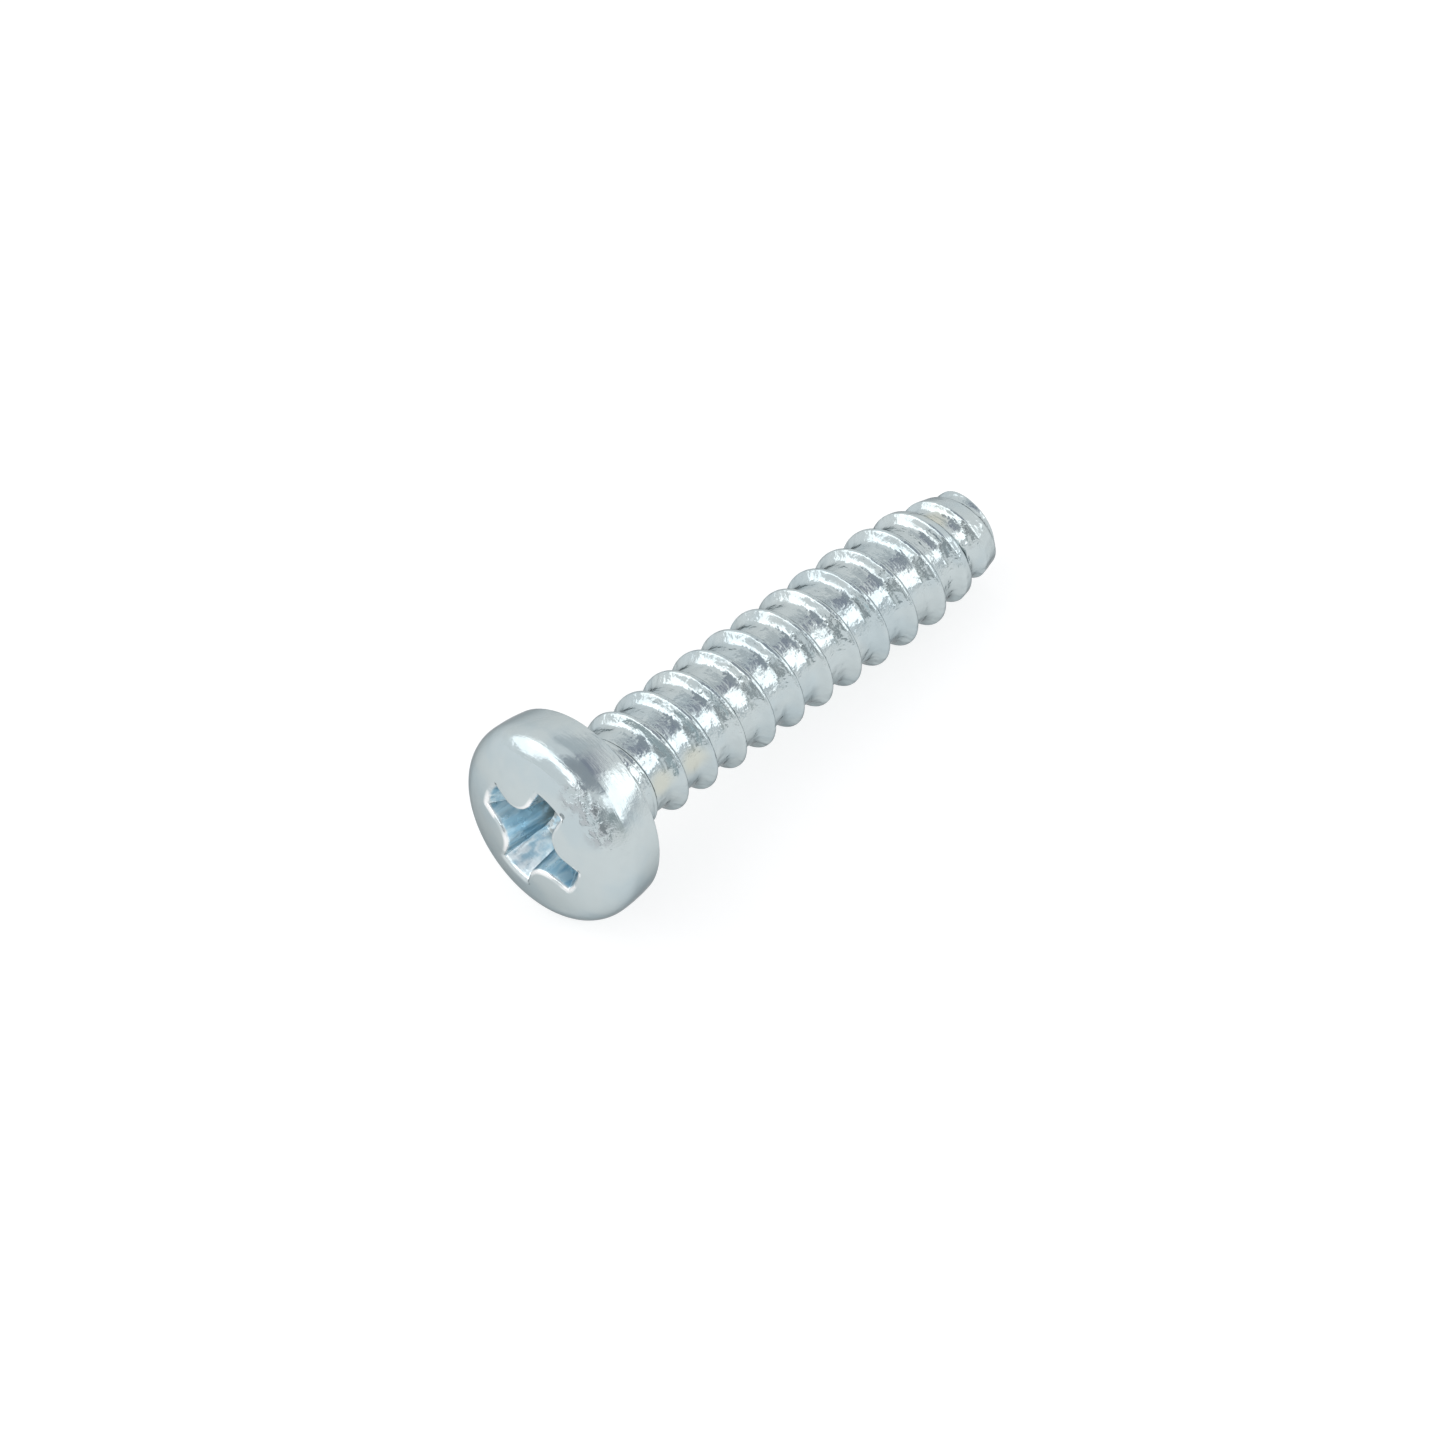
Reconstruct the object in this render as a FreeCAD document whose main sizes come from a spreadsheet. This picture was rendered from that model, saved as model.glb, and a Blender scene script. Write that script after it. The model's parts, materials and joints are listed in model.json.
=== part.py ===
# Sheet metal screw: domed pan head, cross recess, one coarse right-hand thread and a blunt tapered end
# It is drawn upright on its own axis: bearing face at height 0, crown up and tip down
# It is then laid as it comes to rest, on the side of its head and on its last full thread
import FreeCAD, Part
import math
import os
import Sketcher
from FreeCAD import Placement, Rotation, Vector

doc = FreeCAD.newDocument("sheet_metal_screw")

# Driving dimensions in millimetres and degrees
DIMENSIONS = [
    ("head_dia", 7.26, "widest diameter of the head"),
    ("head_height", 2.6, "bearing face to the top of the crown"),
    ("crown_radius", 9.0, "radius of the domed top"),
    ("edge_radius", 1.05, "radius from the dome out to the widest ring"),
    ("side_radius", 6.0, "radius from the widest ring in to the bearing face"),
    ("neck_fillet", 0.3, "radius between the bearing face and the shank"),
    ("shank_length", 18.9, "bearing face to the end of the tip"),
    ("core_dia", 3.34, "root diameter of the thread"),
    ("thread_dia", 4.04, "outside diameter of the thread"),
    ("thread_pitch", 1.4, "advance of the thread for one turn"),
    ("flank_angle", 60.0, "angle between the two flanks"),
    ("crest_flat", 0.15, "width of the flat along the crest"),
    ("root_bite", 0.05, "depth to which the ridge is sunk into the thinnest core"),
    ("thread_turn", 130.0, "turn of the thread from the wings of the recess"),
    ("neck_dia", 3.46, "diameter over the faint thread next to the head"),
    ("neck_gap", 1.25, "bearing face to the start of the rising thread"),
    ("run_in", 1.2, "length over which the thread rises to its full height"),
    ("taper_length", 3.65, "length of the cut that tapers the end"),
    ("taper_bulge", 0.06, "rise of the tapered end above a straight cone"),
    ("tip_dia", 2.8, "outside diameter of the thread at the end face"),
    ("tip_core_dia", 2.45, "root diameter at the end face"),
    ("recess_width", 4.15, "diameter across the wings at the crown"),
    ("point_width", 2.6, "diameter across the wings where the point begins"),
    ("wing_angle", 26.5, "slope of the wing ends from the axis"),
    ("point_angle", 28.0, "slope of the point from the level"),
    ("wing_width", 1.12, "width of a wing at the crown"),
    ("flute_angle", 5.75, "slope of the wing sides from the axis"),
    ("corner_radius", 0.9, "corner between two wings at the crown"),
    ("floor_radius", 0.45, "corner between two wings below the point"),
    ("recess_edge", 0.08, "bevel along the rim of the recess"),
    ("reach", 0.5, "how far a cut runs past the surface it trims"),
    ("roll_turn", 252.3, "turn about its own axis in which the screw lies"),
]
WINGS = 4
# Steps tested along an edge, and the distance under which a point counts as on a surface
EDGE_STEPS = 4
CLOSE = 0.001
sheet = doc.addObject("Spreadsheet::Sheet", "sizes")
for row, (alias, number, note) in enumerate(DIMENSIONS, 1):
    sheet.set("A%d" % row, alias)
    sheet.set("B%d" % row, str(number))
    sheet.set("C%d" % row, note)
    sheet.setAlias("B%d" % row, alias)
doc.recompute()

# Names for the ends of a sketch element, for the sketch's own axes and for its origin
START, END, CENTRE = range(1, 4)
LEVEL, UPRIGHT = -1, -2
ORIGIN = (-1, 1)

# Heights and radii that follow from the driving dimensions
HEAD_RADIUS = "sizes.head_dia / 2"
CORE_RADIUS = "sizes.core_dia / 2"
NECK_RADIUS = "sizes.neck_dia / 2"
THREAD_RADIUS = "sizes.thread_dia / 2"
FULL_LENGTH = "sizes.shank_length - sizes.taper_length"
CUT_RADIUS = THREAD_RADIUS + " + sizes.reach"
RUN_IN_END = "sizes.neck_gap + sizes.run_in"
RUN_IN_CUT = (RUN_IN_END + " + sizes.run_in * sizes.reach / (" + THREAD_RADIUS + " - " + NECK_RADIUS + ")")
TAPER_RADIUS = THREAD_RADIUS + " + sizes.taper_bulge"
TIP_RADIUS = "sizes.tip_dia / 2"
PUNCH_TOP = "sizes.head_height + sizes.reach"
RIM_HEIGHT = ("(sizes.head_height - sizes.crown_radius"
              " + sqrt(sizes.crown_radius ^ 2 - (sizes.recess_width / 2) ^ 2))")
WING_SLOPE = "tan(sizes.wing_angle * 1 deg)"
WING_DEPTH = "(sizes.recess_width - sizes.point_width) / 2 / " + WING_SLOPE
POINT_HEIGHT = "(" + RIM_HEIGHT + " - " + WING_DEPTH + ")"
POINT_DEPTH = "sizes.point_width / 2 * tan(sizes.point_angle * 1 deg)"
FLOOR_HEIGHT = "(" + POINT_HEIGHT + " - " + POINT_DEPTH + " - sizes.reach)"
WIDEST_HEIGHT = ("(sizes.head_height - sizes.crown_radius + sqrt((sizes.crown_radius - sizes.edge_radius) ^ 2"
                 " - (" + HEAD_RADIUS + " - sizes.edge_radius) ^ 2))")


def value(formula):
    return float(sheet.evalExpression(formula))


def origin_part(body, role):
    return [feature for feature in body.Origin.OriginFeatures if feature.Role == role][0]


def new_sketch(body, name, role, height=None):
    sketch = body.newObject("Sketcher::SketchObject", name)
    sketch.AttachmentSupport = [(origin_part(body, role), "")]
    sketch.MapMode = "FlatFace"
    if height:
        sketch.setExpression("AttachmentOffset.Base.z", height)
    return sketch


def line(sketch, start, end):
    return sketch.addGeometry(Part.LineSegment(Vector(*start, 0), Vector(*end, 0)))


def arc(sketch, centre, start, end):
    """An arc that runs counterclockwise from start to end."""
    radius = math.dist(centre, start)
    first = math.atan2(start[1] - centre[1], start[0] - centre[0])
    last = math.atan2(end[1] - centre[1], end[0] - centre[0])
    circle = Part.Circle(Vector(*centre, 0), Vector(0, 0, 1), radius)
    return sketch.addGeometry(Part.ArcOfCircle(circle, first, last))


def rule(sketch, kind, *where):
    sketch.addConstraint(Sketcher.Constraint(kind, *where))


def dimension(sketch, label, formula, kind, *where):
    """A dimension that stays tied to the sheet."""
    amount = value(formula)
    if kind == "Angle":
        amount = math.radians(amount)
    number = sketch.addConstraint(Sketcher.Constraint(kind, *where, amount))
    sketch.renameConstraint(number, label)
    sketch.setExpression("Constraints." + label, formula)


def polygon(sketch, corners):
    """Straight sides through the corners, joined and closed."""
    sides = [line(sketch, corners[n], corners[(n + 1) % len(corners)]) for n in range(len(corners))]
    for n, side in enumerate(sides):
        rule(sketch, "Coincident", side, END, sides[(n + 1) % len(sides)], START)
    return sides


def revolve(body, name, kind, sketch):
    feature = body.newObject(kind, name)
    feature.Profile = sketch
    feature.ReferenceAxis = (sketch, ["V_Axis"])
    feature.Angle = 360
    return feature


def draw_core(body):
    """Round core of the shank, from just inside the head to the end face."""
    sketch = new_sketch(body, "core_profile", "XZ_Plane")
    core, end, top = value(CORE_RADIUS), value("sizes.tip_core_dia / 2"), value("sizes.reach")
    full, length = value(FULL_LENGTH), value("sizes.shank_length")
    sides = polygon(sketch, [(0, top), (core, top), (core, -full), (end, -length), (0, -length)])
    rule(sketch, "PointOnObject", sides[0], START, UPRIGHT)
    rule(sketch, "Horizontal", sides[0])
    rule(sketch, "Vertical", sides[1])
    rule(sketch, "Horizontal", sides[3])
    rule(sketch, "Vertical", sides[4])
    dimension(sketch, "core_top", "sizes.reach", "DistanceY", *ORIGIN, sides[0], START)
    dimension(sketch, "core_radius", CORE_RADIUS, "DistanceX", *ORIGIN, sides[1], START)
    dimension(sketch, "full_length", FULL_LENGTH, "DistanceY", sides[1], END, *ORIGIN)
    dimension(sketch, "end_radius", "sizes.tip_core_dia / 2", "DistanceX", *ORIGIN, sides[3], START)
    dimension(sketch, "length", "sizes.shank_length", "DistanceY", sides[3], START, *ORIGIN)
    return revolve(body, "core", "PartDesign::Revolution", sketch)


def wind_thread(body):
    """Ridge of the thread, wound right-handed from below the tip up into the head."""
    sketch = new_sketch(body, "ridge_profile", "XZ_Plane")
    foot_formula = "sizes.tip_core_dia / 2 - sizes.root_bite"
    foot, crest = value(foot_formula), value(THREAD_RADIUS)
    flat = value("sizes.crest_flat / 2")
    spread = flat + (crest - foot) * math.tan(math.radians(value("sizes.flank_angle / 2")))
    start_formula = "sizes.shank_length + sizes.thread_pitch * (1 - sizes.thread_turn / 360)"
    low = -value(start_formula)
    corners = [(foot, low - spread), (crest, low - flat), (crest, low + flat), (foot, low + spread)]
    lower, top, upper, inner = polygon(sketch, corners)
    rule(sketch, "Vertical", top)
    rule(sketch, "Vertical", inner)
    rule(sketch, "Equal", lower, upper)
    dimension(sketch, "foot_radius", foot_formula, "DistanceX", *ORIGIN, lower, START)
    dimension(sketch, "crest_radius", THREAD_RADIUS, "DistanceX", *ORIGIN, lower, END)
    dimension(sketch, "crest_width", "sizes.crest_flat", "DistanceY", top, START, top, END)
    dimension(sketch, "start", start_formula + " + sizes.crest_flat / 2", "DistanceY", top, START, *ORIGIN)
    dimension(sketch, "flanks", "(180 - sizes.flank_angle) / 2 * 1 deg", "Angle", lower, START, inner, END)
    ridge = body.newObject("PartDesign::AdditiveHelix", "thread")
    ridge.Profile = sketch
    ridge.ReferenceAxis = (sketch, ["V_Axis"])
    ridge.Mode = "pitch-height-angle"
    ridge.LeftHanded = False
    ridge.setExpression("Pitch", "sizes.thread_pitch")
    ridge.setExpression("Height", start_formula + " + sizes.reach")
    return ridge


def trim_run_in(body):
    """Thread held low next to the head, and the cone over which it rises to its full height."""
    sketch = new_sketch(body, "run_in_profile", "XZ_Plane")
    neck, outer = value(NECK_RADIUS), value(CUT_RADIUS)
    gap, low, top = value("sizes.neck_gap"), value(RUN_IN_CUT), value("sizes.reach")
    sides = polygon(sketch, [(neck, -gap), (outer, -low), (outer, top), (neck, top)])
    rule(sketch, "Vertical", sides[1])
    rule(sketch, "Horizontal", sides[2])
    rule(sketch, "Vertical", sides[3])
    dimension(sketch, "neck_radius", NECK_RADIUS, "DistanceX", *ORIGIN, sides[0], START)
    dimension(sketch, "neck_gap", "sizes.neck_gap", "DistanceY", sides[0], START, *ORIGIN)
    dimension(sketch, "cut_radius", CUT_RADIUS, "DistanceX", *ORIGIN, sides[0], END)
    dimension(sketch, "run_in_cut", RUN_IN_CUT, "DistanceY", sides[0], END, *ORIGIN)
    dimension(sketch, "cut_top", "sizes.reach", "DistanceY", *ORIGIN, sides[1], END)
    return revolve(body, "run_in", "PartDesign::Groove", sketch)


def trim_tip(body):
    """Bulged taper that brings the thread down to the tip, and the flat end face."""
    sketch = new_sketch(body, "tip_profile", "XZ_Plane")
    crest, outer, end = value(TAPER_RADIUS), value(CUT_RADIUS), value(TIP_RADIUS)
    full, length = value(FULL_LENGTH), value("sizes.shank_length")
    low_formula = "sizes.shank_length + 2 * sizes.thread_pitch"
    chord = "((" + TAPER_RADIUS + " - " + TIP_RADIUS + ") ^ 2 + sizes.taper_length ^ 2)"
    bulge_formula = "(" + chord + " / 4 + sizes.taper_bulge ^ 2) / 2 / sizes.taper_bulge"
    low, bulge = value(low_formula), value(bulge_formula)
    middle = ((crest + end) / 2, -(full + length) / 2)
    half = math.dist(middle, (crest, -full))
    inward = math.sqrt(bulge ** 2 - half ** 2) / half
    centre = (middle[0] - (length - full) / 2 * inward, middle[1] + (crest - end) / 2 * inward)
    taper = arc(sketch, centre, (end, -length), (crest, -full))
    corners = [(crest, -full), (outer, -full), (outer, -low), (0, -low), (0, -length), (end, -length)]
    sides = [line(sketch, corners[n], corners[n + 1]) for n in range(len(corners) - 1)]
    rule(sketch, "Coincident", taper, END, sides[0], START)
    for first, second in zip(sides, sides[1:]):
        rule(sketch, "Coincident", first, END, second, START)
    rule(sketch, "Coincident", sides[-1], END, taper, START)
    rule(sketch, "Horizontal", sides[0])
    rule(sketch, "Vertical", sides[1])
    rule(sketch, "Horizontal", sides[2])
    rule(sketch, "PointOnObject", sides[3], START, UPRIGHT)
    rule(sketch, "PointOnObject", sides[3], END, UPRIGHT)
    rule(sketch, "Horizontal", sides[4])
    dimension(sketch, "bulge_radius", bulge_formula, "Radius", taper)
    dimension(sketch, "taper_radius", TAPER_RADIUS, "DistanceX", *ORIGIN, sides[0], START)
    dimension(sketch, "full_length", FULL_LENGTH, "DistanceY", sides[0], START, *ORIGIN)
    dimension(sketch, "cut_radius", CUT_RADIUS, "DistanceX", *ORIGIN, sides[1], START)
    dimension(sketch, "cut_end", low_formula, "DistanceY", sides[1], END, *ORIGIN)
    dimension(sketch, "length", "sizes.shank_length", "DistanceY", taper, START, *ORIGIN)
    dimension(sketch, "tip_radius", TIP_RADIUS, "DistanceX", *ORIGIN, taper, START)
    return revolve(body, "tip", "PartDesign::Groove", sketch)


def form_head(body):
    """Pan head: dome, rounded side, flat bearing face and the fillet at the neck."""
    sketch = new_sketch(body, "head_profile", "XZ_Plane")
    height, crown, edge = value("sizes.head_height"), value("sizes.crown_radius"), value("sizes.edge_radius")
    side, fillet, core = value("sizes.side_radius"), value("sizes.neck_fillet"), value(CORE_RADIUS)
    widest, ring = value(WIDEST_HEIGHT), value(HEAD_RADIUS)
    dome_centre = (0, height - crown)
    edge_centre = (ring - edge, widest)
    side_centre = (ring - side, widest)
    stretch = crown / (crown - edge)
    meet = (edge_centre[0] * stretch, dome_centre[1] + (widest - dome_centre[1]) * stretch)
    bearing = ring - side + math.sqrt(side ** 2 - widest ** 2)
    dome_arc = arc(sketch, dome_centre, meet, (0, height))
    edge_arc = arc(sketch, edge_centre, (ring, widest), meet)
    side_arc = arc(sketch, side_centre, (bearing, 0), (ring, widest))
    face = line(sketch, (core + fillet, 0), (bearing, 0))
    neck = arc(sketch, (core + fillet, -fillet), (core + fillet, 0), (core, -fillet))
    floor = line(sketch, (core, -fillet), (0, -fillet))
    middle = line(sketch, (0, -fillet), (0, height))
    rule(sketch, "Tangent", dome_arc, START, edge_arc, END)
    rule(sketch, "Tangent", edge_arc, START, side_arc, END)
    rule(sketch, "Coincident", side_arc, START, face, END)
    rule(sketch, "Tangent", face, START, neck, START)
    rule(sketch, "Coincident", neck, END, floor, START)
    rule(sketch, "Coincident", floor, END, middle, START)
    rule(sketch, "Coincident", middle, END, dome_arc, END)
    rule(sketch, "PointOnObject", middle, START, UPRIGHT)
    rule(sketch, "PointOnObject", middle, END, UPRIGHT)
    rule(sketch, "PointOnObject", dome_arc, CENTRE, UPRIGHT)
    rule(sketch, "PointOnObject", face, START, LEVEL)
    rule(sketch, "Horizontal", face)
    rule(sketch, "Horizontal", floor)
    rule(sketch, "Horizontal", neck, CENTRE, neck, END)
    rule(sketch, "Horizontal", edge_arc, CENTRE, edge_arc, START)
    dimension(sketch, "height", "sizes.head_height", "DistanceY", *ORIGIN, middle, END)
    dimension(sketch, "crown_radius", "sizes.crown_radius", "Radius", dome_arc)
    dimension(sketch, "edge_radius", "sizes.edge_radius", "Radius", edge_arc)
    dimension(sketch, "side_radius", "sizes.side_radius", "Radius", side_arc)
    dimension(sketch, "neck_fillet", "sizes.neck_fillet", "Radius", neck)
    dimension(sketch, "head_radius", HEAD_RADIUS, "DistanceX", *ORIGIN, edge_arc, START)
    dimension(sketch, "core_radius", CORE_RADIUS, "DistanceX", *ORIGIN, floor, START)
    return revolve(body, "head", "PartDesign::Revolution", sketch)


def draw_punch(body):
    """Cone with a flatter point, which holds the wing ends and the floor of the recess."""
    sketch = new_sketch(body, "punch_profile", "XZ_Plane")
    top, shoulder = value(PUNCH_TOP), value(POINT_HEIGHT)
    top_formula = "sizes.recess_width / 2 + (" + PUNCH_TOP + " - " + RIM_HEIGHT + ") * " + WING_SLOPE
    point = value("sizes.point_width / 2")
    apex = shoulder - point * math.tan(math.radians(value("sizes.point_angle")))
    corners = [(0, apex), (point, shoulder), (value(top_formula), top), (0, top)]
    slope, wing, lid, middle = polygon(sketch, corners)
    rule(sketch, "PointOnObject", slope, START, UPRIGHT)
    rule(sketch, "PointOnObject", middle, START, UPRIGHT)
    rule(sketch, "Horizontal", lid)
    dimension(sketch, "top", PUNCH_TOP, "DistanceY", *ORIGIN, middle, START)
    dimension(sketch, "top_radius", top_formula, "DistanceX", *ORIGIN, wing, END)
    dimension(sketch, "point_radius", "sizes.point_width / 2", "DistanceX", *ORIGIN, wing, START)
    dimension(sketch, "wing_slope", "sizes.wing_angle * 1 deg", "Angle", wing, END, middle, START)
    dimension(sketch, "point_slope", "(90 - sizes.point_angle) * 1 deg", "Angle", slope, START, middle, END)
    return revolve(body, "punch_blank", "PartDesign::Revolution", sketch)


def draw_flute(body, name, height, corner_formula, radius_formula):
    """Section of the flute that leaves the metal between two wings standing."""
    sketch = new_sketch(body, name, "XY_Plane", height)
    corner, radius, outer = value(corner_formula), value(radius_formula), value("sizes.recess_width")
    soft = corner + radius
    low = line(sketch, (soft, corner), (outer, corner))
    right = line(sketch, (outer, corner), (outer, outer))
    high = line(sketch, (outer, outer), (corner, outer))
    left = line(sketch, (corner, outer), (corner, soft))
    bend = arc(sketch, (soft, soft), (corner, soft), (soft, corner))
    rule(sketch, "Coincident", low, END, right, START)
    rule(sketch, "Coincident", right, END, high, START)
    rule(sketch, "Coincident", high, END, left, START)
    rule(sketch, "Tangent", left, END, bend, START)
    rule(sketch, "Tangent", bend, END, low, START)
    rule(sketch, "Horizontal", low)
    rule(sketch, "Vertical", right)
    rule(sketch, "Horizontal", high)
    rule(sketch, "Vertical", left)
    dimension(sketch, "corner_radius", radius_formula, "Radius", bend)
    dimension(sketch, "wing_side", corner_formula, "DistanceX", *ORIGIN, left, END)
    dimension(sketch, "next_wing_side", corner_formula, "DistanceY", *ORIGIN, low, START)
    dimension(sketch, "outer_side", "sizes.recess_width", "DistanceX", *ORIGIN, right, START)
    dimension(sketch, "next_outer_side", "sizes.recess_width", "DistanceY", *ORIGIN, high, START)
    return sketch


def cut_flutes(body):
    """Four flutes that turn the cone into a cross-shaped punch."""
    slope = "tan(sizes.flute_angle * 1 deg)"
    top_corner = "sizes.wing_width / 2 + (" + PUNCH_TOP + " - " + RIM_HEIGHT + ") * " + slope
    low_corner = "sizes.wing_width / 2 - (" + RIM_HEIGHT + " - " + FLOOR_HEIGHT + ") * " + slope
    top = draw_flute(body, "flute_top", PUNCH_TOP, top_corner, "sizes.corner_radius")
    low = draw_flute(body, "flute_end", FLOOR_HEIGHT, low_corner, "sizes.floor_radius")
    flute = body.newObject("PartDesign::SubtractiveLoft", "flute")
    flute.Profile = top
    flute.Sections = [low]
    flute.Ruled = True
    pattern = body.newObject("PartDesign::PolarPattern", "flutes")
    pattern.Originals = [flute]
    pattern.Axis = (origin_part(body, "Z_Axis"), [""])
    pattern.Angle = 360
    pattern.Occurrences = WINGS
    body.Tip = pattern
    return pattern


def press_recess(body, punch):
    cut = body.newObject("PartDesign::Boolean", "recess")
    cut.Type = "Cut"
    cut.Group = [punch]
    body.Tip = cut
    return cut


def on_recess_rim(edge):
    """An edge that lies on the dome and no further out than the wing ends."""
    centre = Vector(0, 0, value("sizes.head_height - sizes.crown_radius"))
    crown, wing = value("sizes.crown_radius"), value("sizes.recess_width / 2")
    first, last = edge.ParameterRange
    spacing = (last - first) / EDGE_STEPS
    points = [edge.valueAt(first + step * spacing) for step in range(EDGE_STEPS + 1)]
    on_dome = all(abs(point.distanceToPoint(centre) - crown) < CLOSE for point in points)
    return on_dome and all(math.hypot(point.x, point.y) < wing + CLOSE for point in points)


def bevel_rim(body, recess):
    rim = ["Edge%d" % number for number, edge in enumerate(recess.Shape.Edges, 1) if on_recess_rim(edge)]
    bevel = body.newObject("PartDesign::Chamfer", "recess_rim")
    bevel.Base = (recess, rim)
    bevel.setExpression("Size", "sizes.recess_edge")
    body.Tip = bevel
    return bevel


def crest_beyond(depth):
    """Radius of the thread at a depth below the bearing face."""
    start, end = value(TAPER_RADIUS), value(TIP_RADIUS)
    along = max(0, (depth - value(FULL_LENGTH)) / value("sizes.taper_length"))
    taper = start - (start - end) * along + 4 * value("sizes.taper_bulge") * along * (1 - along)
    return min(value(THREAD_RADIUS), taper)


def lying_tilt():
    """Dip of the tip at which the side of the head and the first crest to reach the level both touch it."""
    widest, side = value(WIDEST_HEIGHT), value("sizes.side_radius")
    inset = value(HEAD_RADIUS) - side
    pitch, length = value("sizes.thread_pitch"), value("sizes.shank_length")
    downward = 180 - value("sizes.roll_turn")
    depth = length + pitch * (1 - (value("sizes.thread_turn") + downward) / 360)
    depth -= pitch * math.ceil((depth - length) / pitch)
    tilts = []
    while depth > length - value("sizes.taper_length") - pitch:
        run, drop = depth + widest, crest_beyond(depth) - inset
        tilts.append(math.asin(side / math.hypot(run, drop)) - math.atan2(drop, run))
        depth -= pitch
    return min(tilts)


def lay_down(body):
    """Tip towards +X, lowest point at height 0 and the middle of the footprint at the origin."""
    dip = Rotation(Vector(0, 1, 0), math.degrees(lying_tilt()) - 90)
    turn = Rotation(Vector(0, 0, 1), value("sizes.roll_turn"))
    body.Placement = Placement(Vector(), dip * turn)
    box = body.Shape.optimalBoundingBox(False, False)
    body.Placement = Placement(Vector(-box.Center.x, -box.Center.y, -box.ZMin), dip * turn)


def check_all():
    for item in doc.Objects:
        if "Invalid" in item.State or "Error" in item.State:
            raise RuntimeError("not built: " + item.Name)


screw = doc.addObject("PartDesign::Body", "screw")
screw.Label = "screw"
punch = doc.addObject("PartDesign::Body", "recess_punch")
for shape_shank in (draw_core, wind_thread, trim_run_in, trim_tip):
    shape_shank(screw)
    doc.recompute()
form_head(screw)
draw_punch(punch)
cut_flutes(punch)
doc.recompute()
recess = press_recess(screw, punch)
doc.recompute()
bevel_rim(screw, recess)
doc.recompute()
lay_down(screw)
doc.recompute()
check_all()

if screw.Shape.isNull() or not screw.Shape.isValid() or len(screw.Shape.Solids) != 1:
    raise RuntimeError("the screw is not one sound solid")
os.makedirs("parts", exist_ok=True)
screw.Shape.exportStep(os.path.join("parts", screw.Label + ".step"))
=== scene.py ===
import json
import math
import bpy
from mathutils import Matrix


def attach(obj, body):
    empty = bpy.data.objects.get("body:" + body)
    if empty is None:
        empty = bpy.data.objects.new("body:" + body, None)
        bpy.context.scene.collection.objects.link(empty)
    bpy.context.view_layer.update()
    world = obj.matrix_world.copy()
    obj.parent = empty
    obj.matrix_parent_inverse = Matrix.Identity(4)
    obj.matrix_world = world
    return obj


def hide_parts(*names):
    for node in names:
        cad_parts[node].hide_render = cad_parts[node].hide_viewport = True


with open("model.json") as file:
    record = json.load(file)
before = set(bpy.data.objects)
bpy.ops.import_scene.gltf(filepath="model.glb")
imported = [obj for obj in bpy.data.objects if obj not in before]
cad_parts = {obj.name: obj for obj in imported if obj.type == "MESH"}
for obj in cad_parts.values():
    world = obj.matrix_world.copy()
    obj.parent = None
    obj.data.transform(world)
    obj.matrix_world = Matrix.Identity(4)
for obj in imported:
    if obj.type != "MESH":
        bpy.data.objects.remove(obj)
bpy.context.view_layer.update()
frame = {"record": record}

from types import SimpleNamespace

import bpy
import numpy as np
from mathutils import Vector

mmPerMetre = 1000
halfTurn = math.pi
quarterTurn = math.pi / 2
fullTurn = 2 * math.pi

# Sizes of the screw in millimetres and degrees, as in the part. The last two lines, the rounding of its
# edges and how finely it is divided, are the skin's own
screw = {
    "headRadius": 3.63, "headHeight": 2.6, "crownRadius": 9.0, "edgeRadius": 1.05, "sideRadius": 6.0,
    "neckFillet": 0.3, "length": 18.9, "coreRadius": 1.67, "threadRadius": 2.02, "pitch": 1.4,
    "flankAngle": 60.0, "crestFlat": 0.15, "threadTurn": 130.0, "neckRadius": 1.73, "neckGap": 1.25,
    "runIn": 1.2, "taperLength": 3.65, "taperBulge": 0.06, "tipRadius": 1.4, "tipCoreRadius": 1.225,
    "recessRadius": 2.075, "pointRadius": 1.3, "wingAngle": 26.5, "pointAngle": 28.0, "wingWidth": 1.12,
    "fluteAngle": 5.75, "cornerRadius": 0.9, "floorRadius": 0.45, "reach": 0.5, "rollTurn": 252.3,
    "crestRound": 0.1, "rootRound": 0.34, "backRound": 0.07, "bearingEdge": 0.07, "recessEdge": 0.15,
    "tipEdge": 0.08, "columnsPerQuarter": 40,
}
size = SimpleNamespace(**screw)


def tanOf(degrees):
    return math.tan(math.radians(degrees))


def smoothMax(a, b, soft):
    # the larger of two, rounded over where they are nearer than soft to each other
    gap = np.clip(0.5 + 0.5 * (a - b) / soft, 0, 1)
    return b + (a - b) * gap + soft * gap * (1 - gap)


def smoothMin(a, b, soft):
    return -smoothMax(-a, -b, soft)


def arc(centre, radius, first, last, steps):
    # points after the first end, as radius and height; the turns are measured from straight up
    turns = np.linspace(first, last, steps + 1)[1:]
    return [(centre[0] + radius * math.sin(a), centre[1] + radius * math.cos(a)) for a in turns]


# Columns run round the axis. A quarter of them goes over the end of a wing of the cross, its side, the
# rounded corner and the side of the next wing, with a quarter of its columns on each
quarter = size.columnsPerQuarter
columns = 4 * quarter
part = quarter // 4
stretch, step = np.divmod(np.arange(quarter), part)
share = 0.5 - 0.5 * np.cos(halfTurn * step / part)  # columns crowd towards the corners
turn = fullTurn * (np.arange(columns) - part / 2) / columns
circle = np.stack([np.cos(turn), np.sin(turn)], axis=1)

# Heights are measured from the bearing face, up through the head
crownCentre = size.headHeight - size.crownRadius
circleRadius = 2.6  # rings of the dome have become circles here


def domeHeight(radius):
    return crownCentre + np.sqrt(size.crownRadius ** 2 - radius ** 2)


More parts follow.
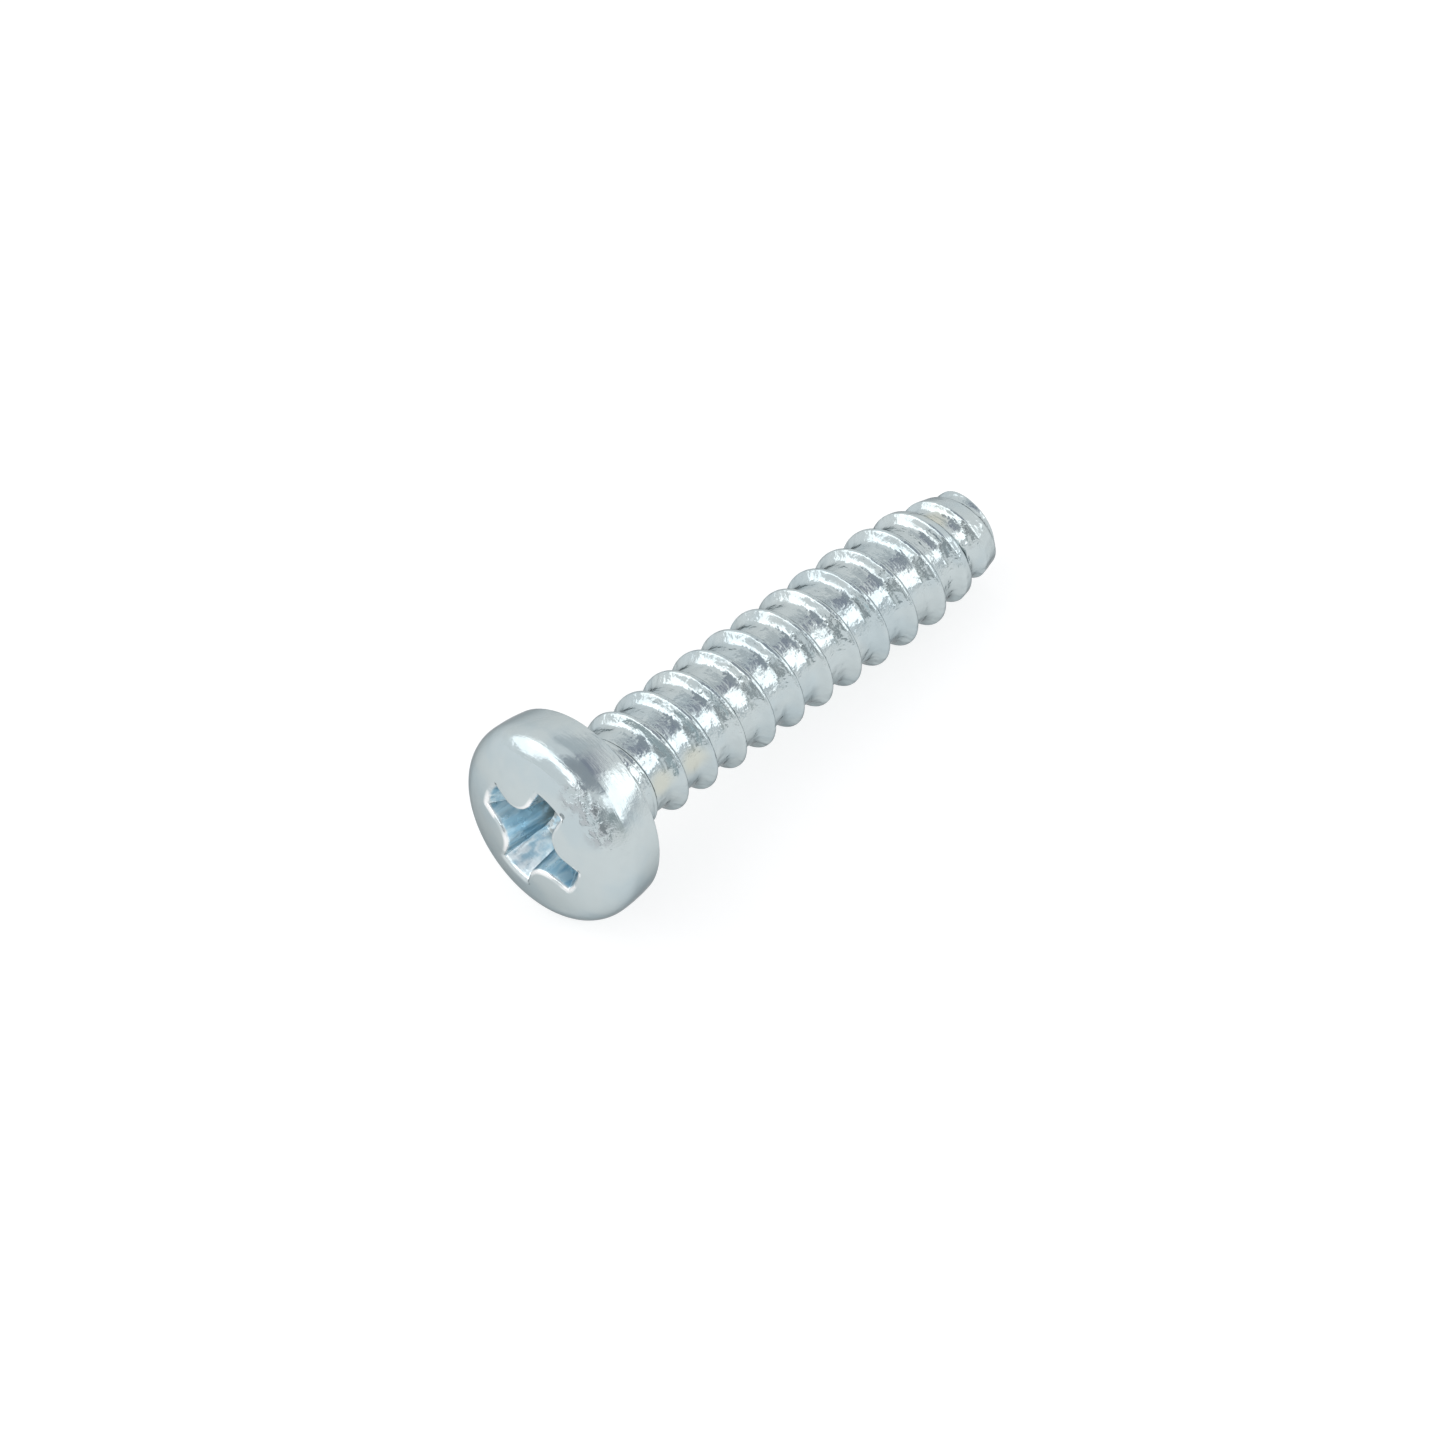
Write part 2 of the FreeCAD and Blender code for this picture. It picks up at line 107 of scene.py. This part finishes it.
rimHeight = float(domeHeight(size.recessRadius))
pointHeight = rimHeight - (size.recessRadius - size.pointRadius) / tanOf(size.wingAngle)
apexHeight = pointHeight - size.pointRadius * tanOf(size.pointAngle)
punchTop = size.headHeight + size.reach
punchEnd = apexHeight - size.reach
threadStart = size.length + size.pitch * (1 - size.threadTurn / 360)


def shankRadius(z, around):
    # the flank that faces the head runs out in a wide fillet, and the flank behind it in a narrow one
    depth = -z
    along = (depth - (size.length - size.taperLength)) / size.taperLength
    taperTop = size.threadRadius + size.taperBulge
    bulge = 4 * size.taperBulge * along * (1 - along)
    taper = taperTop - (taperTop - size.tipRadius) * along + bulge
    taper = np.where(along < 0, 2 * size.threadRadius, taper)  # clear of the thread above the taper
    core = size.coreRadius - (size.coreRadius - size.tipCoreRadius) * np.clip(along, 0, 1)
    offset = z + threadStart - size.pitch * around / fullTurn
    offset = ((offset / size.pitch + 0.5) % 1 - 0.5) * size.pitch
    fillet = np.where(offset > 0, size.rootRound, size.backRound)
    ridge = size.threadRadius - (np.abs(offset) - size.crestFlat / 2) / tanOf(size.flankAngle / 2)
    rise = (size.threadRadius - size.neckRadius) / size.runIn
    runIn = size.neckRadius + np.maximum(0, depth - size.neckGap) * rise
    top = smoothMin(np.minimum(size.threadRadius, runIn), taper, size.crestRound)
    ridge = smoothMin(ridge, top, size.crestRound)
    return smoothMax(core, ridge, fillet)


def recessWall(z):
    # z holds one height for each column of a quarter; the result is that quarter's points
    halfWidth = size.wingWidth / 2 + (z - rimHeight) * tanOf(size.fluteAngle)
    blend = (z - punchEnd) / (punchTop - punchEnd)
    bend = size.floorRadius + (size.cornerRadius - size.floorRadius) * blend
    bendStart = halfWidth + bend
    wingRadius = size.recessRadius + (np.maximum(z, pointHeight) - rimHeight) * tanOf(size.wingAngle)
    halfEnd = np.arcsin(halfWidth / wingRadius)
    swing = halfEnd * (2 * share - 1)
    sideEnd = wingRadius * np.cos(halfEnd)
    bendTurn = share * quarterTurn
    places = [
        (wingRadius * np.cos(swing), wingRadius * np.sin(swing)),
        (sideEnd + (bendStart - sideEnd) * share, halfWidth),
        (bendStart - bend * np.sin(bendTurn), bendStart - bend * np.cos(bendTurn)),
        (halfWidth, bendStart + (sideEnd - bendStart) * share),
    ]
    onStretch = [stretch == number for number in range(len(places))]
    return [np.select(onStretch, choices) for choices in zip(*places)]


def settle(start, surfaceHeight):
    # heights at which the wall meets a surface, found by going back and forth between the two
    passes = 40
    height = np.full(quarter, start)
    for _ in range(passes):
        height = surfaceHeight(*recessWall(height))
    return height


def domeOver(x, y):
    return domeHeight(np.hypot(x, y))


def floorUnder(x, y):
    # the ends of the wings stop where the flatter point begins
    return np.where(stretch == 0, pointHeight, apexHeight + np.hypot(x, y) * tanOf(size.pointAngle))


def crossRing(height):
    x, y = recessWall(height)
    rings = [(x, y, height), (-y, x, height), (-x, -y, height), (y, -x, height)]
    return np.concatenate([np.stack(ring, axis=1) for ring in rings])


def recessRings(low, top):
    floorShares = (0.25, 0.5, 0.75, 0.93, 0.985, 1)
    wallShares = (0.02, 0.06, 0.16, 0.32, 0.5, 0.68, 0.84)
    apex = np.array([0, 0, apexHeight])
    rings = [apex + (crossRing(low) - apex) * out for out in floorShares]
    return rings + [crossRing(low + (top - size.recessEdge - low) * up) for up in wallShares]


def rimRings(top):
    # a curve from the wall past the sharp rim to the dome
    rimShares = (0, 0.2, 0.4, 0.6, 0.8, 1)
    wallEnd = crossRing(top - size.recessEdge)
    rim = crossRing(top)
    side = np.roll(rim, -1, axis=0) - np.roll(rim, 1, axis=0)
    outward = np.stack([side[:, 1], -side[:, 0]], axis=1)
    outward /= np.linalg.norm(outward, axis=1)[:, None]
    domeStart = rim.copy()
    domeStart[:, :2] += outward * size.recessEdge
    domeStart[:, 2] = domeOver(domeStart[:, 0], domeStart[:, 1])
    return [(wallEnd * (1 - t) ** 2 + rim * 2 * t * (1 - t) + domeStart * t ** 2, 1 - t) for t in rimShares]


def domeRings(start):
    # from the rim of the cross out to a plain circle
    domeShares = (0.03, 0.1, 0.25, 0.42, 0.6, 0.8, 1)
    for out in domeShares:
        flat = start[:, :2] * (1 - out) + circleRadius * circle * out
        yield np.column_stack([flat, domeOver(*flat.T)])


def turnedSection():
    # radius and height along the dome, the edge, the side, the bearing face and the fillet of the neck
    crownSteps, edgeSteps, sideSteps, bearingSteps, neckSteps = 4, 15, 7, 4, 7
    faceShares = (0.2, 0.45, 0.7, 0.88, 1)
    edgeCentre = size.headRadius - size.edgeRadius
    edgeReach = size.crownRadius - size.edgeRadius
    widest = crownCentre + math.sqrt(edgeReach ** 2 - edgeCentre ** 2)
    crownEnd = math.asin(edgeCentre / edgeReach)
    crownStart = math.asin(circleRadius / size.crownRadius)
    sideEnd = math.asin((widest - size.bearingEdge) / size.sideRadius)
    section = arc((0, crownCentre), size.crownRadius, crownStart, crownEnd, crownSteps)
    section += arc((edgeCentre, widest), size.edgeRadius, crownEnd, quarterTurn, edgeSteps)
    section += arc((size.headRadius - size.sideRadius, widest), size.sideRadius,
                   quarterTurn, quarterTurn + sideEnd, sideSteps)
    section += arc((section[-1][0] - size.bearingEdge, size.bearingEdge), size.bearingEdge,
                   quarterTurn, halfTurn, bearingSteps)
    outer, inner = section[-1][0], size.coreRadius + size.neckFillet
    section += [(outer + (inner - outer) * along, 0) for along in faceShares]
    return section + arc((inner, -size.neckFillet), size.neckFillet, 0, -quarterTurn, neckSteps)[:-1]


def headRings():
    # every ring comes with how far it lies in the recess, from 1 on the walls to 0 on the dome
    low, top = settle(pointHeight, floorUnder), settle(rimHeight, domeOver)
    rings = [(ring, 1) for ring in recessRings(low, top)] + rimRings(top)
    rings += [(ring, 0) for ring in domeRings(rings[-1][0])]
    for radius, height in turnedSection():
        level = np.full(columns, height)
        if height < 0:  # the thread runs up into the fillet of the neck
            radius = np.maximum(radius, shankRadius(level, turn))[:, None]
        rings.append((np.column_stack([circle * radius, level]), 0))
    return rings


def shankMesh(firstIndex):
    # rows follow the thread, at these distances from the middle of its crest; the rows past either end
    # fall together on its ring
    rowOffsets = (0.045, 0.075, 0.1, 0.14, 0.19, 0.235, 0.27, 0.3, 0.34, 0.4, 0.52)
    spareTurns = 4
    heightsPerMm = 1e5  # heights are rounded to these, so that rows that meet share their points
    offsets = sorted([0, size.pitch / 2, *rowOffsets, *(-offset for offset in rowOffsets)])
    crests = size.pitch * np.arange(-1, int(size.length / size.pitch) + spareTurns) - threadStart
    heights = np.add.outer(crests, offsets).ravel()
    top, bottom = -size.neckFillet, size.tipEdge - size.length
    turnFromStart = turn % fullTurn
    order = np.argsort(turnFromStart)
    z = np.clip(heights[:, None] + size.pitch * turnFromStart[order] / fullTurn, bottom, top)
    columnOf = np.broadcast_to(order, z.shape)
    key = np.stack([columnOf.ravel(), np.rint(z.ravel() * heightsPerMm).astype(np.int64)], axis=1)
    unique, index = np.unique(key, axis=0, return_inverse=True)
    index = index.reshape(z.shape) + firstIndex
    height = unique[:, 1] / heightsPerMm
    around = turn[unique[:, 0]]
    radius = shankRadius(height, around)
    points = np.column_stack([radius * np.cos(around), radius * np.sin(around), height])
    # after the last column a row goes on in the first one, a turn further up
    wrapped = np.concatenate([index[len(offsets):, :1], np.full((len(offsets), 1), -1)])
    grid = np.concatenate([index, wrapped], axis=1).tolist()
    faces = []
    for low, high in zip(grid, grid[1:]):
        for square in zip(low[:-1], low[1:], high[1:], high[:-1]):
            corners = list(dict.fromkeys(square))
            if len(corners) > 2 and min(corners) >= 0:
                faces.append(corners)
    ends = []
    for level in (top, bottom):
        rows = np.nonzero(unique[:, 1] == round(level * heightsPerMm))[0]
        ends.append((rows[np.argsort(unique[rows, 0])] + firstIndex).tolist())
    return points, faces, ends


def tipRings(last):
    # rounded edge, then the flat end face
    edgeSteps = 5
    faceInsets = (0.12, 0.3, 0.6, 0.9)
    steps = arc((size.tipEdge, size.tipEdge), size.tipEdge, -quarterTurn, -halfTurn, edgeSteps)
    steps += [(inset, 0) for inset in faceInsets]
    radius = np.hypot(last[:, 0], last[:, 1])[:, None]
    for inset, rise in steps:
        flat = last[:, :2] * (radius - inset) / radius
        yield np.column_stack([flat, np.full(columns, rise - size.length)])


def ringFaces(first, second):
    following = first[1:] + first[:1], second[1:] + second[:1]
    return list(zip(first, following[0], following[1], second))


def numbered(count):
    return list(range(count, count + columns))


def buildScrew():
    # from the point of the recess over the head and down the shank to the middle of the end face
    rings = headRings()
    points = [np.array([[0, 0, apexHeight]])] + [ring for ring, inside in rings]
    recess = [np.ones(1)] + [np.full(columns, inside) for ring, inside in rings]
    before = numbered(1)
    faces = [(0, a, b) for a, b in zip(before, before[1:] + before[:1])]
    count = 1 + columns
    for _ in rings[1:]:
        now = numbered(count)
        faces += ringFaces(now, before)
        before = now
        count += columns
    shank, shankFaces, (shankTop, shankEnd) = shankMesh(count)
    points.append(shank)
    faces += ringFaces(shankTop, before) + shankFaces
    before = shankEnd
    last = shank[np.array(shankEnd) - count]
    count += len(shank)
    for ring in tipRings(last):
        points.append(ring)
        now = numbered(count)
        faces += ringFaces(now, before)
        before = now
        count += columns
    points.append(np.array([[0, 0, -size.length]]))
    faces += [(count, b, a) for a, b in zip(before, before[1:] + before[:1])]
    recess.append(np.zeros(count + 1 - sum(len(each) for each in recess)))
    return np.concatenate(points), np.concatenate(recess), faces


# The screw's own axes as it lies: the mount of the recess gives its axis and the place of its head
drive = [mount for mount in frame["record"]["mounts"] if mount["name"] == "drive_recess"][0]
crown = Vector(drive["axis"]).normalized()
upward = Vector((crown.z, 0, -crown.x))
sideways = Vector((0, 1, 0))
roll = math.radians(size.rollTurn)
alongX = upward * math.cos(roll) + sideways * math.sin(roll)
alongY = sideways * math.cos(roll) - upward * math.sin(roll)
bearing = Vector(drive["pos_m"]) - crown * rimHeight / mmPerMetre

local, inRecess, faces = buildScrew()
world = local @ np.array([alongX, alongY, crown]) / mmPerMetre + np.array(bearing)
mesh = bpy.data.meshes.new("screwSkin")
mesh.from_pydata(world.tolist(), [], faces)
mesh.validate()
mesh.update()
mesh.polygons.foreach_set("use_smooth", [True] * len(mesh.polygons))
mesh.attributes.new("place", "FLOAT_VECTOR", "POINT").data.foreach_set("vector", local.ravel())
mesh.attributes.new("inRecess", "FLOAT", "POINT").data.foreach_set("value", inRecess)
screwSkin = bpy.data.objects.new("screwSkin", mesh)
bpy.context.scene.collection.objects.link(screwSkin)
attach(screwSkin, "root")
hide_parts("screw")
triangles = sum(len(face.vertices) - 2 for face in mesh.polygons)
print("screw skin:", len(mesh.vertices), "vertices,", triangles, "triangles")

# Zinc plating. Spots, sizes and depths are in millimetres along the screw's own axes, from the middle of
# the bearing face. A noise has a scale, a detail and, where it fades in, the values between which it does
zinc = {
    "colour": (0.53, 0.59, 0.60), "coolColour": (0.49, 0.565, 0.59), "clouds": (0.55, 4, 0.4, 0.62),
    "edgeTint": (0.40, 0.42, 0.43),
    "warmColour": (0.62, 0.61, 0.50), "warmth": 0.6, "warmSize": 0.7,
    "warmSpots": ((1.4, 1.13, -2.1), (1.4, 1.13, -3.6), (-0.6, 1.5, -17.1)),
    "pitColour": (0.42, 0.46, 0.48), "pits": (3.6, 3, 0.42, 0.62), "pitRelief": 0.03, "pittedSize": 0.75,
    "pittedSpots": ((1.9, 2.5, 2.0), (1.25, 2.85, 2.05), (0.55, 2.95, 2.1)),
    "filmColour": (0.86, 0.94, 0.97), "deepColour": (0.46, 0.66, 0.77), "filmStart": 0.5,
    "streaks": (3.2, 3), "streakStretch": (1, 1, 0.12), "streakFade": (0.38, 0.6), "streakDepth": 0.04,
    # the grey and the blotches of the recess floor are painted shade
    "floorShadeGrey": (0.36, 0.40, 0.40), "floorHeights": (0.7, 1.1), "shadeBlotches": (2.4, 3, 0.42, 0.55),
    # the light colour on the recess rim, and its patches, are a painted highlight
    "rimGlintColour": (0.9, 0.91, 0.91), "glintPatches": (0.9, 2, 0.46, 0.58), "leastGlint": 0.15,
    "roughness": 0.13, "roughnessSpread": 0.12, "filmRoughness": 0.14, "dullness": (2.6, 5, 0.35, 0.7),
    "dents": (1.6, 3, 0.3, 0.7), "dentDepth": 0.03, "headShare": 0.17, "neckHeights": (-0.4, 0.4),
    "grain": (9, 4), "grainDepth": 0.004,
    "scratches": (5, 3), "scratchStretch": (0.25, 0.25, 3), "scratchDepth": 0.006,
    "nick": (0.55, 2.12, 2.33), "nickSize": 0.17, "nickDepth": 0.1,
}


def newNode(tree, kind, **settings):
    node = tree.nodes.new(kind)
    for name, setting in settings.items():
        setattr(node, name, setting)
    return node


def noise(tree, place, scale, detail, stretch=None):
    if stretch:
        mapping = newNode(tree, "ShaderNodeMapping")
        mapping.inputs["Scale"].default_value = stretch
        tree.links.new(place, mapping.inputs["Vector"])
        place = mapping.outputs["Vector"]
    node = newNode(tree, "ShaderNodeTexNoise")
    node.inputs["Scale"].default_value = scale
    node.inputs["Detail"].default_value = detail
    tree.links.new(place, node.inputs["Vector"])
    return node.outputs["Fac"]


def span(tree, source, low, high, toLow=0.0, toHigh=1.0):
    node = newNode(tree, "ShaderNodeMapRange", interpolation_type="SMOOTHSTEP")
    for name, number in (("From Min", low), ("From Max", high), ("To Min", toLow), ("To Max", toHigh)):
        node.inputs[name].default_value = number
    tree.links.new(source, node.inputs["Value"])
    return node.outputs["Result"]


def patches(tree, place, settings, toLow=0.0, toHigh=1.0):
    scale, detail, low, high = settings
    return span(tree, noise(tree, place, scale, detail), low, high, toLow, toHigh)


def distance(tree, place, spot):
    node = newNode(tree, "ShaderNodeVectorMath", operation="DISTANCE")
    tree.links.new(place, node.inputs[0])
    node.inputs[1].default_value = spot
    return node.outputs["Value"]


def combine(tree, operation, first, *others):
    for second in others:
        node = newNode(tree, "ShaderNodeMath", operation=operation)
        for socket, source in zip(node.inputs, (first, second)):
            if isinstance(source, (int, float)):
                socket.default_value = source
            else:
                tree.links.new(source, socket)
        first = node.outputs["Value"]
    return first


def nearSpots(tree, place, spots, width):
    # 1 in the middle of each spot and 0 from its width on
    middleShare = 0.3
    near = [span(tree, distance(tree, place, spot), middleShare * width, width, 1, 0) for spot in spots]
    return combine(tree, "MAXIMUM", *near)


def mixColours(tree, factor, first, second):
    node = newNode(tree, "ShaderNodeMix", data_type="RGBA")
    tree.links.new(factor, node.inputs["Factor"])
    for name, source in (("A", first), ("B", second)):
        socket = [each for each in node.inputs if each.name == name and each.type == "RGBA"][0]
        if isinstance(source, tuple):
            socket.default_value = (*source, 1)
        else:
            tree.links.new(source, socket)
    return [each for each in node.outputs if each.type == "RGBA"][0]


def zincColour(tree, at):
    colour = mixColours(tree, patches(tree, at.place, zinc["clouds"]), zinc["colour"], zinc["coolColour"])
    warm = nearSpots(tree, at.place, zinc["warmSpots"], zinc["warmSize"])
    colour = mixColours(tree, combine(tree, "MULTIPLY", warm, zinc["warmth"]), colour, zinc["warmColour"])
    colour = mixColours(tree, at.pits, colour, zinc["pitColour"])
    # blue film in the recess, streaked down its walls; the grey blotches on its floor are painted shade at
    # the bottom of the recess
    film = mixColours(tree, span(tree, at.streaks, *zinc["streakFade"]), zinc["deepColour"],
                      zinc["filmColour"])
    onFloor = span(tree, at.height, *zinc["floorHeights"], 1, 0)
    shadeBlotches = combine(tree, "MULTIPLY", onFloor, patches(tree, at.place, zinc["shadeBlotches"]))
    film = mixColours(tree, shadeBlotches, film, zinc["floorShadeGrey"])
    colour = mixColours(tree, span(tree, at.recess, zinc["filmStart"], 1), colour, film)
    # painted highlight on the rim: a lighter colour stands in for glints there. onRim is 1 where points lie
    # half in the recess, and 0 on its walls and outside
    onRim = combine(tree, "MULTIPLY", at.recess, combine(tree, "SUBTRACT", 1, at.recess), 4)
    rimGlint = combine(tree, "MULTIPLY", onRim, patches(tree, at.place, zinc["glintPatches"], zinc["leastGlint"], 1))
    return mixColours(tree, rimGlint, colour, zinc["rimGlintColour"])


def zincRoughness(tree, at):
    spread = combine(tree, "MULTIPLY", patches(tree, at.place, zinc["dullness"]), zinc["roughnessSpread"])
    inFilm = combine(tree, "MULTIPLY", at.recess, zinc["filmRoughness"])
    return combine(tree, "ADD", spread, zinc["roughness"], inFilm)


def zincRelief(tree, at):
    onShank = span(tree, at.height, *zinc["neckHeights"], 1, zinc["headShare"])
    dents = combine(tree, "MULTIPLY", patches(tree, at.place, zinc["dents"]), zinc["dentDepth"], onShank)
    grain = combine(tree, "MULTIPLY", noise(tree, at.place, *zinc["grain"]), zinc["grainDepth"])
    scratches = combine(tree, "MULTIPLY", noise(tree, at.place, *zinc["scratches"], zinc["scratchStretch"]),
                        zinc["scratchDepth"])
    streaks = combine(tree, "MULTIPLY", at.streaks, at.recess, zinc["streakDepth"])
    nick = span(tree, distance(tree, at.place, zinc["nick"]), 0, zinc["nickSize"], -zinc["nickDepth"], 0)
    pits = combine(tree, "MULTIPLY", at.pits, zinc["pitRelief"])
    return combine(tree, "ADD", dents, grain, scratches, streaks, nick, pits)


def makeZinc():
    material = bpy.data.materials.new("zincPlating")
    material.use_nodes = True
    tree = material.node_tree
    shader = tree.nodes["Principled BSDF"]
    place = newNode(tree, "ShaderNodeAttribute", attribute_name="place").outputs["Vector"]
    recess = newNode(tree, "ShaderNodeAttribute", attribute_name="inRecess").outputs["Fac"]
    axial = newNode(tree, "ShaderNodeSeparateXYZ")
    tree.links.new(place, axial.inputs["Vector"])
    streaks = noise(tree, place, *zinc["streaks"], zinc["streakStretch"])
    pits = combine(tree, "MULTIPLY", nearSpots(tree, place, zinc["pittedSpots"], zinc["pittedSize"]),
                   patches(tree, place, zinc["pits"]))
    at = SimpleNamespace(place=place, recess=recess, height=axial.outputs["Z"], streaks=streaks, pits=pits)
    shader.inputs["Metallic"].default_value = 1
    shader.inputs["Specular Tint"].default_value = (*zinc["edgeTint"], 1)
    tree.links.new(zincColour(tree, at), shader.inputs["Base Color"])
    tree.links.new(zincRoughness(tree, at), shader.inputs["Roughness"])
    bump = newNode(tree, "ShaderNodeBump")
    bump.inputs["Strength"].default_value = 1
    bump.inputs["Distance"].default_value = 1 / mmPerMetre
    tree.links.new(zincRelief(tree, at), bump.inputs["Height"])
    tree.links.new(bump.outputs["Normal"], shader.inputs["Normal"])
    return material


mesh.materials.append(makeZinc())
print("zinc plating made")

# Studio, in metres. Softboxes and cards stand round the middle of the screw. Each has its azimuth from +X
# towards +Y, its elevation and its width and height in degrees, then the strength or colour of its light
studio = {
    "skyLight": 0.8, "floorColour": (0.42, 0.42, 0.42), "floorLift": 0.7, "floorSize": 4.0,
    "middleHeight": 0.003, "softboxDistance": 0.6, "cardDistance": 0.5,
    "softboxes": {
        "rearSoftbox": (157, 51, 76, 22, 1.1),
        "backSoftbox": (120, 26, 42, 28, 0.9),
        "sideSoftbox": (-50, 31, 44, 28, 1.05),
        "frontSoftbox": (-90, 44, 22, 12, 0.85),
    },
    "cards": {
        "overheadCard": (-10, 60, 32, 14, (0.36, 0.38, 0.45)),
        "nearCard": (-14, 49, 26, 9, (0.55, 0.56, 0.61)),
        "tipCard": (30, 48, 35, 22, (0.69, 0.72, 0.74)),
        "lowCard": (-142, 15, 32, 22, (0.44, 0.47, 0.48)),
        "edgeCard": (-54, 13, 40, 9, (0.62, 0.65, 0.68)),
        "ceilingCard": (-110, 80, 60, 44, (0.44, 0.47, 0.51)),
        "leftCard": (-142, 34, 36, 11, (0.3, 0.32, 0.33)),
        "frontCard": (-100, 31, 33, 11, (0.42, 0.46, 0.46)),
        "sideCard": (-86, 17, 19, 16, (0.6, 0.63, 0.63)),
    },
}


def direction(azimuth, elevation):
    azimuth, elevation = math.radians(azimuth), math.radians(elevation)
    level = math.cos(elevation)
    return Vector((math.cos(azimuth) * level, math.sin(azimuth) * level, math.sin(elevation)))


def panelSize(angle, away):
    return 2 * away * tanOf(angle / 2)


def placePanel(panel, azimuth, elevation, away):
    towards = direction(azimuth, elevation)
    panel.location = Vector((0, 0, studio["middleHeight"])) + towards * away
    panel.rotation_euler = towards.to_track_quat("Z", "Y").to_euler()
    panel.visible_camera = False
    bpy.context.scene.collection.objects.link(panel)


def addSoftbox(name, azimuth, elevation, width, height, strength):
    lamp = bpy.data.lights.new(name, "AREA")
    lamp.shape = "RECTANGLE"
    away = studio["softboxDistance"]
    lamp.size, lamp.size_y = panelSize(width, away), panelSize(height, away)
    lamp.energy = strength * math.pi * lamp.size * lamp.size_y
    placePanel(bpy.data.objects.new(name, lamp), azimuth, elevation, away)


def makeMatte(name, colour, glow):
    # without gloss, and giving off some light of its own
    material = bpy.data.materials.new(name)
    material.use_nodes = True
    shader = material.node_tree.nodes["Principled BSDF"]
    shader.inputs["Base Color"].default_value = (*colour, 1)
    shader.inputs["Roughness"].default_value = 1
    shader.inputs["Specular IOR Level"].default_value = 0
    shader.inputs["Emission Color"].default_value = (*glow, 1)
    shader.inputs["Emission Strength"].default_value = 1
    return material


def flatPiece(name, width, height, material):
    x, y = width / 2, height / 2
    sheet = bpy.data.meshes.new(name)
    sheet.from_pydata([(-x, -y, 0), (x, -y, 0), (x, y, 0), (-x, y, 0)], [], [(0, 1, 2, 3)])
    sheet.materials.append(material)
    return bpy.data.objects.new(name, sheet)


def addCard(name, azimuth, elevation, width, height, colour):
    away = studio["cardDistance"]
    material = makeMatte(name, (0, 0, 0), colour)
    card = flatPiece(name, panelSize(width, away), panelSize(height, away), material)
    placePanel(card, azimuth, elevation, away)


def seenDirectly(tree):
    # 1 for what the camera, a reflection or glass sees, and 0 for light that falls on a surface
    rays = newNode(tree, "ShaderNodeLightPath").outputs
    kinds = ("Is Camera Ray", "Is Glossy Ray", "Is Transmission Ray")
    return combine(tree, "MAXIMUM", *(rays[kind] for kind in kinds))


def makeFloor():
    material = makeMatte("floorWhite", studio["floorColour"], (1, 1, 1))
    tree = material.node_tree
    lift = combine(tree, "MULTIPLY", seenDirectly(tree), studio["floorLift"])
    tree.links.new(lift, tree.nodes["Principled BSDF"].inputs["Emission Strength"])
    floor = flatPiece("floor", studio["floorSize"], studio["floorSize"], material)
    bpy.context.scene.collection.objects.link(floor)


def makeSky():
    sky = bpy.data.worlds.new("studio")
    sky.use_nodes = True
    tree = sky.node_tree
    background = tree.nodes["Background"]
    background.inputs["Color"].default_value = (1, 1, 1, 1)
    strength = span(tree, seenDirectly(tree), 0, 1, studio["skyLight"], 1)
    tree.links.new(strength, background.inputs["Strength"])
    bpy.context.scene.world = sky


for name, settings in studio["softboxes"].items():
    addSoftbox(name, *settings)
for name, settings in studio["cards"].items():
    addCard(name, *settings)
makeFloor()
makeSky()
print("studio made")

# Camera, in degrees and in millimetres from the middle of the bearing face, with angles as in the studio
view = {
    "azimuth": -136.8, "elevation": 49.3, "distance": 287.0, "right": 4.596, "up": 2.612,
    "lens": 219.5, "sensor": 36.0, "nearest": 10.0,
}
camera = bpy.data.objects.new("camera", bpy.data.cameras.new("camera"))
bpy.context.scene.collection.objects.link(camera)
towards = direction(view["azimuth"], view["elevation"])
right = direction(view["azimuth"] + 90, 0)
up = towards.cross(right)
shifted = right * view["right"] + up * view["up"] + towards * view["distance"]
camera.location = bearing + shifted / mmPerMetre
camera.rotation_euler = towards.to_track_quat("Z", "Y").to_euler()
camera.data.lens = view["lens"]
camera.data.sensor_width = view["sensor"]
camera.data.clip_start = view["nearest"] / mmPerMetre
bpy.context.scene.camera = camera
bpy.context.scene.view_settings.view_transform = "Standard"
print("camera set")
